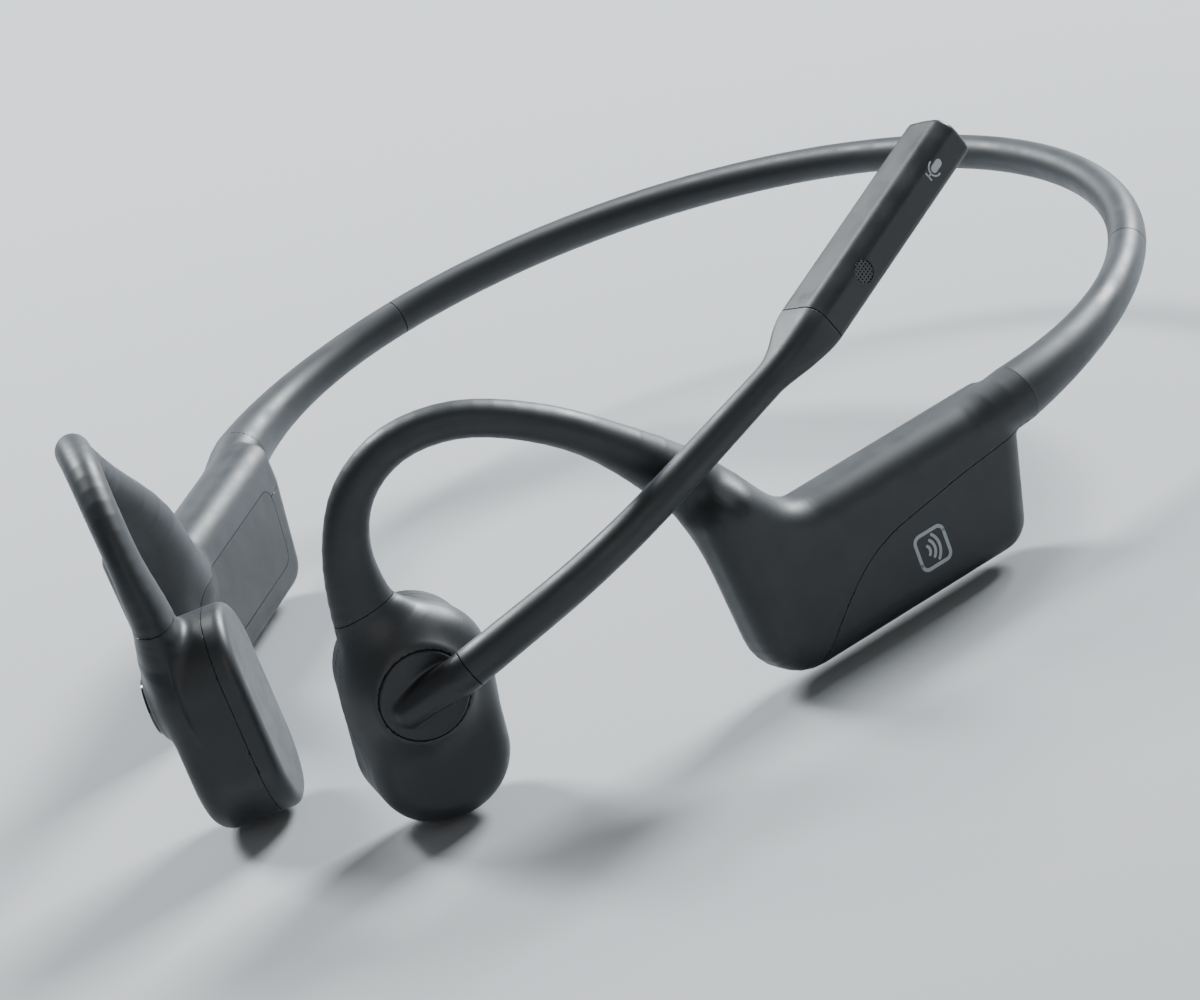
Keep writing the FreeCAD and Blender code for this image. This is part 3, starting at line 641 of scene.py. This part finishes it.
def mesh_fields(p):
    """The microphone's round grille with its rows of holes."""
    q = HEAD.inside(p)
    x, z = q[:, 0], q[:, 2] + MIC_FROM_TIP
    depth = HEAD_D / 2 - q[:, 1] * OUTWARD
    plate = extrude(np.hypot(x, z) - MIC_R + 0.01, depth, 0.06, 0.35, 0.03)
    hx, hz = (c - HOLE_PITCH * np.round(c / HOLE_PITCH) for c in (x, z))
    return np.stack([plate, HOLE_R - np.hypot(hx, hz)])


# ---------------------------------------------------------------- materials
def node(tree, kind, **inputs):
    made = tree.nodes.new(kind)
    for key, value in inputs.items():
        made.inputs[key.replace("_", " ")].default_value = value
    return made


def ramp(tree, source, stops):
    made = tree.nodes.new("ShaderNodeValToRGB")
    elements = made.color_ramp.elements
    while len(elements) < len(stops):
        elements.new(0.5)
    for element, (place, value) in zip(elements, stops):
        element.position = place
        element.color = (value, value, value, 1) if np.isscalar(value) else (*value, 1)
    tree.links.new(source, made.inputs["Fac"])
    return made.outputs["Color"]


def mixed(tree, factor, a, b, mode="MIX"):
    made = tree.nodes.new("ShaderNodeMix")
    made.data_type = "RGBA"
    made.blend_type = mode
    for key, value in ((0, factor), (6, a), (7, b)):
        if isinstance(value, bpy.types.NodeSocket):
            tree.links.new(value, made.inputs[key])
        elif key == 0:
            made.inputs[0].default_value = value
        else:
            made.inputs[key].default_value = (*value, 1)
    return made.outputs[2]


def surface(name, colour, roughness, metallic=0.0, grain=9000.0, bump=0.25, blotch=0.12, wear=0.3,
            coat=0.0, sheen=0.0, specular=0.5, scratch=0.0, emission=None, alpha=1.0, stretch=(1, 1, 1)):
    """A moulded or finished surface: fine grain, soft mottling, uneven gloss and worn edges."""
    material = bpy.data.materials.new(name)
    material.use_nodes = True
    tree = material.node_tree
    shader = tree.nodes["Principled BSDF"]
    coords = tree.nodes.new("ShaderNodeTexCoord")
    mapping = tree.nodes.new("ShaderNodeMapping")
    mapping.inputs["Scale"].default_value = stretch
    tree.links.new(coords.outputs["Object"], mapping.inputs["Vector"])
    place = mapping.outputs["Vector"]

    def noise(scale, detail=2.0, rough=0.5):
        made = node(tree, "ShaderNodeTexNoise", Scale=scale, Detail=detail, Roughness=rough)
        tree.links.new(place, made.inputs["Vector"])
        return made.outputs["Fac"]

    fine, broad, smudge = noise(grain, 3.0, 0.6), noise(55.0, 3.0), noise(260.0, 4.0, 0.62)
    light = tuple(min(1.0, c * (1 + blotch)) for c in colour)
    dark = tuple(c * (1 - blotch) for c in colour)
    tint = mixed(tree, ramp(tree, broad, [(0.3, 0.0), (0.7, 1.0)]), dark, light)
    speck = ramp(tree, fine, [(0.35, 0.86), (0.65, 1.1)])
    tint = mixed(tree, 0.5, tint, speck, "MULTIPLY")
    geometry = tree.nodes.new("ShaderNodeNewGeometry")
    edges = ramp(tree, geometry.outputs["Pointiness"], [(0.515, 0.0), (0.56, 1.0)])
    broken = mixed(tree, ramp(tree, smudge, [(0.4, 0.0), (0.62, 1.0)]), (0, 0, 0), edges)
    worn = tuple(min(1.0, c * 1.7 + 0.012) for c in colour)
    fade = mixed(tree, wear, (0, 0, 0), broken)
    tint = mixed(tree, fade, tint, worn)
    tree.links.new(tint, shader.inputs["Base Color"])
    gloss = ramp(tree, smudge, [(0.3, max(0.03, roughness - 0.07)), (0.72, min(1.0, roughness + 0.08))])
    if scratch:
        marks = node(tree, "ShaderNodeTexNoise", Scale=2600.0, Detail=2.0)
        lines = tree.nodes.new("ShaderNodeMapping")
        lines.inputs["Scale"].default_value = (1, 0.03, 0.03)
        tree.links.new(coords.outputs["Object"], lines.inputs["Vector"])
        tree.links.new(lines.outputs["Vector"], marks.inputs["Vector"])
        gloss = mixed(tree, scratch, gloss, marks.outputs["Fac"])
    tree.links.new(gloss, shader.inputs["Roughness"])
    shader.inputs["Metallic"].default_value = metallic
    shader.inputs["Specular IOR Level"].default_value = specular
    shader.inputs["Coat Weight"].default_value = coat
    shader.inputs["Coat Roughness"].default_value = 0.12
    shader.inputs["Sheen Weight"].default_value = sheen
    shader.inputs["Sheen Roughness"].default_value = 0.45
    shader.inputs["Sheen Tint"].default_value = (0.75, 0.86, 1.0, 1)
    shader.inputs["Alpha"].default_value = alpha
    if emission:
        shader.inputs["Emission Color"].default_value = (*emission, 1)
        shader.inputs["Emission Strength"].default_value = 0.4
    relief = node(tree, "ShaderNodeBump", Strength=bump, Distance=0.00003)
    tree.links.new(fine, relief.inputs["Height"])
    swell = node(tree, "ShaderNodeBump", Strength=0.05, Distance=0.00008)
    tree.links.new(smudge, swell.inputs["Height"])
    tree.links.new(relief.outputs["Normal"], swell.inputs["Normal"])
    tree.links.new(swell.outputs["Normal"], shader.inputs["Normal"])
    return material


def make_materials():
    charcoal = (0.0215, 0.0240, 0.0262)
    return {
        "soft_skin": surface("soft_skin", charcoal, 0.50, sheen=0.10, bump=0.30),
        "boom_soft": surface("boom_soft", (0.0205, 0.0230, 0.0250), 0.48, sheen=0.10, bump=0.30),
        "speaker_pad": surface("speaker_pad", (0.0240, 0.0270, 0.0295), 0.44, sheen=0.08, bump=0.2),
        "hard_cover": surface("hard_cover", (0.0225, 0.0252, 0.0275), 0.46, bump=0.35, grain=7000.0),
        "speaker_shell": surface("speaker_shell", charcoal, 0.47, sheen=0.05, bump=0.3),
        "boom_hard": surface("boom_hard", (0.0165, 0.0185, 0.0205), 0.38, bump=0.22, grain=8000.0),
        "button_cap": surface("button_cap", (0.018, 0.020, 0.022), 0.36, bump=0.2),
        "gloss_ring": surface("gloss_ring", (0.012, 0.013, 0.015), 0.10, bump=0.02, coat=1.0,
                              blotch=0.05),
        "mesh_steel": surface("mesh_steel", (0.060, 0.064, 0.068), 0.45, metallic=0.4, bump=0.1),
        "titanium": surface("titanium", (0.50, 0.48, 0.46), 0.28, metallic=1.0, scratch=0.3, bump=0.1),
        "steel": surface("steel", (0.52, 0.52, 0.53), 0.30, metallic=1.0, scratch=0.35, bump=0.1),
        "screw_steel": surface("screw_steel", (0.20, 0.20, 0.21), 0.34, metallic=1.0, bump=0.1),
        "magnet": surface("magnet", (0.66, 0.65, 0.62), 0.16, metallic=1.0, bump=0.05),
        "copper": surface("copper", (0.72, 0.34, 0.16), 0.30, metallic=1.0, scratch=0.3,
                          stretch=(1, 1, 6)),
        "battery_wrap": surface("battery_wrap", (0.55, 0.56, 0.57), 0.32, metallic=0.9, bump=0.3,
                                grain=3000.0),
        "switch_metal": surface("switch_metal", (0.60, 0.60, 0.57), 0.30, metallic=1.0, bump=0.1),
        "board": surface("board", (0.012, 0.085, 0.045), 0.34, bump=0.15, grain=5000.0, coat=0.3),
        "chip": surface("chip", (0.014, 0.014, 0.015), 0.55, bump=0.35),
        "gold_pin": surface("gold_pin", (0.83, 0.56, 0.22), 0.20, metallic=1.0, bump=0.05),
        "light_pipe": surface("light_pipe", (0.70, 0.76, 0.80), 0.22, bump=0.05, alpha=0.8,
                              emission=(0.75, 0.86, 1.0)),
        "lead_jacket": surface("lead_jacket", (0.02, 0.02, 0.022), 0.45, bump=0.1),
        "inner_plastic": surface("inner_plastic", (0.035, 0.035, 0.037), 0.55, bump=0.3),
        "print": surface("print", (0.36, 0.39, 0.41), 0.55, bump=0.15, wear=0.0, blotch=0.06)}


MATERIALS = make_materials()


def finish_piece(obj, slot, body, *nodes):
    obj.data.materials.clear()
    obj.data.materials.append(MATERIALS[slot])
    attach(obj, body)
    if nodes:
        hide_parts(*nodes)
    return obj


def dress_nodes():
    """Every carried-over CAD node takes the material of its slot."""
    slots = {s["node"]: s["material_slot"] for s in frame["record"]["subparts"]}
    for name, obj in frame["nodes"].items():
        obj.data.materials.clear()
        obj.data.materials.append(MATERIALS[slots[name]])


# ---------------------------------------------------------------- pieces
FINE = 0.24


def build_arms():
    low, high = np.array([8.0, -70.5, 0.0]), np.array([64.0, 6.5, 47.5])
    pod_box = corner_box(POD, (-13.5, -19.5, -5), (31, 6, 5))
    cap_box = corner_box(CAP, (-9.5, -13.2, -11), (9.5, 17, 3))
    shared = {"pod_inner_cover": (pod_inner_cover, pod_box, "hard_cover"),
              "capsule_pad": (capsule_pad, cap_box, "speaker_pad")}
    for key, (fields, (start, end), slot) in shared.items():
        vertices, faces = field_mesh(fields, start, end, FINE)
        for side, sign, turned in (("left", 1, faces), ("right", -1, faces[:, ::-1])):
            obj = new_object("%s_%s_form" % (side, key), vertices * [sign, 1, 1], turned)
            finish_piece(obj, slot, "headset", "%s_%s" % (side, key))
    for side in ("left", "right"):
        mirrored = side == "right"
        skin = field_object(side + "_hook_skin_form", hook_skin(side), low, high, FINE, mirrored)
        finish_piece(skin, "soft_skin", "headset", side + "_ear_hook_skin")
        cover = field_object(side + "_pod_cover_form", pod_cover(side), *pod_box, FINE, mirrored)
        finish_piece(cover, "hard_cover", "headset", side + "_pod_cover")
        shell = field_object(side + "_capsule_shell_form", capsule_shell(side), *cap_box,
                             FINE * 0.8, mirrored)
        finish_piece(shell, "speaker_shell", "headset", side + "_capsule_shell")


def end_lips(start, end, lip=0.05):
    """Stations just inside both ends of a run, with how much the radius shrinks there."""
    return ([(start, 0.12), (start + lip * 0.3, 0.03), (start + lip, 0.0)],
            [(end - lip, 0.0), (end - lip * 0.3, 0.03), (end, 0.12)])


def build_band():
    spans = {"left": (BAND_END_DEG, BAND_SEAM_DEG), "centre": (BAND_SEAM_DEG, 180 - BAND_SEAM_DEG),
             "right": (180 - BAND_SEAM_DEG, 180 - BAND_END_DEG)}
    around = np.radians(np.arange(0, 360, 7.5))
    for name, (start, end) in spans.items():
        first, last = end_lips(start + SEAM, end - SEAM)
        rings = []
        for degrees, shrink in first + [(d, 0.0) for d in np.arange(start + 1, end - 0.5, 1)] + last:
            centre, ahead = band_point(np.array([degrees, degrees + 0.1]))
            tangent = unit(ahead - centre)
            side = unit(np.cross(tangent, (0, 0, 1)))
            rise = np.cross(side, tangent)
            r = band_radius(degrees) - shrink
            rings.append(centre + r * (np.cos(around)[:, None] * side + np.sin(around)[:, None] * rise))
        skin = ring_object("neckband_%s_form" % name, rings)
        finish_piece(skin, "soft_skin", "headset", "neckband_skin_" + name)


def boom_section(x):
    """Width, depth and corner radii of the boom's skin: a round stalk, then the bottle neck."""
    r = float(stalk_radius(x))
    t = float(np.clip((x - STALK_END) / (NECK_SEAM - STALK_END), 0, 1))
    t = t * t * (3 - 2 * t)
    w, d = 2 * r + (HEAD_W - 2 * r) * t, 2 * r + (HEAD_D - 2 * r) * t
    return w, d, [r * 0.999 + (end - r * 0.999) * t for end in HEAD_RADII]


def build_boom():
    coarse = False
    box = corner_box(BOOM, (-6, -6, -1.2), (9, 6, 6.5))
    hub = field_object("boom_hub_form", hub_fields, *box, 0.3 if coarse else 0.13)
    finish_piece(hub, "boom_hard", "boom", "boom_hub_disc")
    first, last = end_lips(STALK_ROOT + SEAM, NECK_SEAM - SEAM)
    rings = []
    for x, shrink in first + [(x, 0.0) for x in np.arange(6.2, NECK_SEAM - 0.3, 0.6)] + last:
        w, d, radii = boom_section(x)
        rings.append(boom_ring(x, w - 2 * shrink, d - 2 * shrink, [r - shrink for r in radii]))
    stalk = ring_object("boom_stalk_form", rings)
    finish_piece(stalk, "boom_soft", "boom", "boom_stalk_skin", "boom_neck")
    box = corner_box(HEAD, (-3, -3.6, -HEAD_LENGTH - 0.5), (3, 3.6, 0.3))
    head = field_object("mic_head_form", head_fields, *box, 0.3 if coarse else 0.14)
    finish_piece(head, "boom_hard", "boom", "mic_head_front", "mic_head_back")
    face = HEAD_D / 2 * OUTWARD
    box = corner_box(HEAD, (-1.5, face - 0.6, -MIC_FROM_TIP - 1.5),
                     (1.5, face + 0.6, 1.5 - MIC_FROM_TIP))
    grille = field_object("mic_mesh_form", mesh_fields, *box, 0.1 if coarse else 0.04)
    finish_piece(grille, "mesh_steel", "boom", "mic_mesh")


def raised_mark(name, local, outlines, height, body):
    """Thin printed marks: closed outlines in a local frame's x-y plane, standing a hair proud."""
    vertices, faces = [], []
    for outline in outlines:
        base, count = len(vertices), len(outline)
        vertices += [(x, y, height - 0.03) for x, y in outline] + [(x, y, height) for x, y in outline]
        faces.append([base + count + i for i in range(count)])
        faces.append([base + i for i in reversed(range(count))])
        faces += [(base + i, base + (i + 1) % count, base + count + (i + 1) % count, base + count + i)
                  for i in range(count)]
    obj = new_object(name, local.outside(np.array(vertices)), faces)
    obj.data.materials.append(MATERIALS["print"])
    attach(obj, body)
    return obj


def stroke(points, width):
    """The outline of a pen stroke through points, with round ends."""
    pts = [np.array(p, float) for p in points]
    left, right = [], []
    for i, here in enumerate(pts):
        ahead = unit(pts[min(i + 1, len(pts) - 1)] - pts[max(i - 1, 0)])
        normal = np.array([-ahead[1], ahead[0]]) * width / 2
        left.append(here + normal)
        right.append(here - normal)
    out = []
    for end, sign, side, other in ((pts[-1], 1, left, right), (pts[0], -1, right[::-1], left[::-1])):
        out += side
        towards = unit(end - pts[-2 if sign > 0 else 1])
        base = math.atan2(towards[1], towards[0])
        out += [end + width / 2 * np.array([math.cos(a), math.sin(a)])
                for a in base + np.radians([60, 30, 0, -30, -60])]
    return out


def arc(cx, cy, r, start, end, count=13):
    return [(cx + r * math.cos(a), cy + r * math.sin(a))
            for a in np.radians(np.linspace(start, end, count))]


def build_marks():
    cx, cy, size = 12.5, -12.6, 4.6
    edge = size / 2 - 0.25
    tile = outline_points([(cx - edge, cy - edge, 0.8), (cx + edge, cy - edge, 0.8),
                           (cx + edge, cy + edge, 0.8), (cx - edge, cy + edge, 0.8)])
    half = len(tile) // 2
    frame_strokes = [stroke(tile[:half + 1], 0.42), stroke(list(tile[half:]) + [tile[0]], 0.42)]
    waves = [stroke(arc(cx - 1.15, cy, r, -44, 44), 0.36) for r in (0.75, 1.45, 2.15)]
    raised_mark("pod_mark", POD, frame_strokes + waves, POD_OUT + MARK_PROUD, "headset")
    print_frame = Local(HEAD.o, HEAD.axes[2] * -1, np.cross(HEAD.axes[1] * OUTWARD, HEAD.axes[2] * -1),
                        HEAD.axes[1] * OUTWARD)
    x = 5.6
    body = stroke([(x - 0.55, 0), (x + 0.35, 0)], 0.95)
    cup = stroke(arc(x + 0.2, 0, 0.92, -90, 90), 0.2)
    stem = stroke([(x + 1.12, 0), (x + 1.62, 0)], 0.2)
    foot = stroke([(x + 1.62, -0.5), (x + 1.62, 0.5)], 0.2)
    raised_mark("mic_mark", print_frame, [body, cup, stem, foot], HEAD_D / 2 + MARK_PROUD, "boom")


dress_nodes()
build_arms()
build_band()
build_boom()
build_marks()


# ---------------------------------------------------------------- stage
def build_stage():
    mesh = bpy.data.meshes.new("floor")
    size = 3.0
    mesh.from_pydata([(-size, -size, -0.0002), (size, -size, -0.0002), (size, size, -0.0002),
                      (-size, size, -0.0002)], [], [(0, 1, 2, 3)])
    floor = bpy.data.objects.new("floor", mesh)
    bpy.context.scene.collection.objects.link(floor)
    material = bpy.data.materials.new("floor")
    material.use_nodes = True
    shader = material.node_tree.nodes["Principled BSDF"]
    shader.inputs["Base Color"].default_value = (0.36, 0.37, 0.38, 1)
    shader.inputs["Roughness"].default_value = 0.75
    floor.data.materials.append(material)


def area_light(name, place, aim, size, power, colour=(1, 1, 1)):
    data = bpy.data.lights.new(name, "AREA")
    data.shape = "RECTANGLE"
    data.size, data.size_y = size
    data.energy = power
    data.color = colour
    light = bpy.data.objects.new(name, data)
    light.location = place
    light.rotation_mode = "QUATERNION"
    light.rotation_quaternion = (Vector(aim) - Vector(place)).to_track_quat("-Z", "Y")
    bpy.context.scene.collection.objects.link(light)


def build_lights():
    centre = (0.0, 0.0, 0.02)
    area_light("key_rear", (0.16, 0.92, 0.62), centre, (0.50, 0.26), 36.0, (0.92, 0.97, 1.0))
    area_light("top_left", (-0.62, 0.16, 0.72), centre, (0.20, 0.5), 16.0, (0.93, 0.97, 1.0))
    area_light("front_fill", (0.85, -0.75, 0.55), centre, (0.8, 0.8), 2.2)
    world = bpy.data.worlds.new("studio")
    world.use_nodes = True
    world.node_tree.nodes["Background"].inputs["Color"].default_value = (0.80, 0.84, 0.88, 1)
    world.node_tree.nodes["Background"].inputs["Strength"].default_value = 0.22
    bpy.context.scene.world = world


def build_camera():
    aim = Vector((0.0165, -0.0216, 0.0189))
    distance = 0.70
    azimuth, elevation, roll = (math.radians(a) for a in (-42.1, 19.33, 20.76))
    ahead = Vector((math.sin(azimuth) * math.cos(elevation), math.cos(azimuth) * math.cos(elevation),
                    -math.sin(elevation)))
    data = bpy.data.cameras.new("camera")
    data.sensor_width = 36.0
    data.lens = 184.3
    data.clip_start, data.clip_end = 0.01, 20.0
    camera = bpy.data.objects.new("camera", data)
    camera.location = aim - ahead * distance
    camera.rotation_mode = "QUATERNION"
    level = ahead.to_track_quat("-Z", "Y")
    camera.rotation_quaternion = Quaternion(ahead, roll) @ level
    bpy.context.scene.collection.objects.link(camera)
    bpy.context.scene.camera = camera


build_stage()
build_lights()
build_camera()
